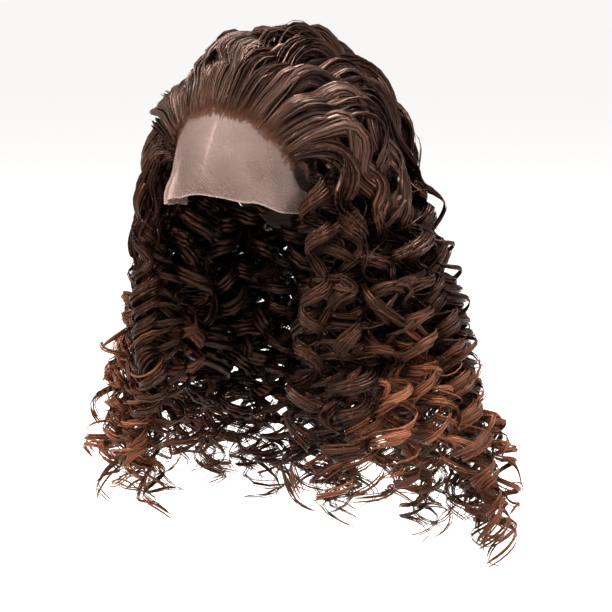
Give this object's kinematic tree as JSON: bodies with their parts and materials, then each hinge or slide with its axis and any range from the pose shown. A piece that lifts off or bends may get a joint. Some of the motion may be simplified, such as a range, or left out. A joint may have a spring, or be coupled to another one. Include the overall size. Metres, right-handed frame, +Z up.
{
  "type": "lace front wig",
  "caption": "Long curly lace front wig: stretch cap, lace over the forehead, hair swept back from the hairline and spiral curls with copper tips.",
  "frame": {"origin": "top of the hollow inside the cap, where the crown of the head carries it", "axes": "+Z up, the face opening looks along -Y, +X is the wearer's left"},
  "size_m": [0.4745, 0.3144, 0.5449],
  "materials": {
    "cap_net": "matt knitted net",
    "lace_net": "sheer fine net",
    "chestnut_hair": "glossy fibre",
    "dark_hair": "glossy fibre, copper at the tips"
  },
  "bodies": {
    "root": {"cap": "cap_net", "lace_front": "lace_net", "crown_hair": "chestnut_hair", "left_front_curls": "dark_hair", "left_side_curls": "dark_hair", "left_back_curls": "dark_hair", "left_side_under_curls": "dark_hair", "left_nape_under_curls": "dark_hair", "right_front_curls": "dark_hair", "right_side_curls": "dark_hair", "right_back_curls": "dark_hair", "right_side_under_curls": "dark_hair", "right_nape_under_curls": "dark_hair"}
  },
  "joints": []
}
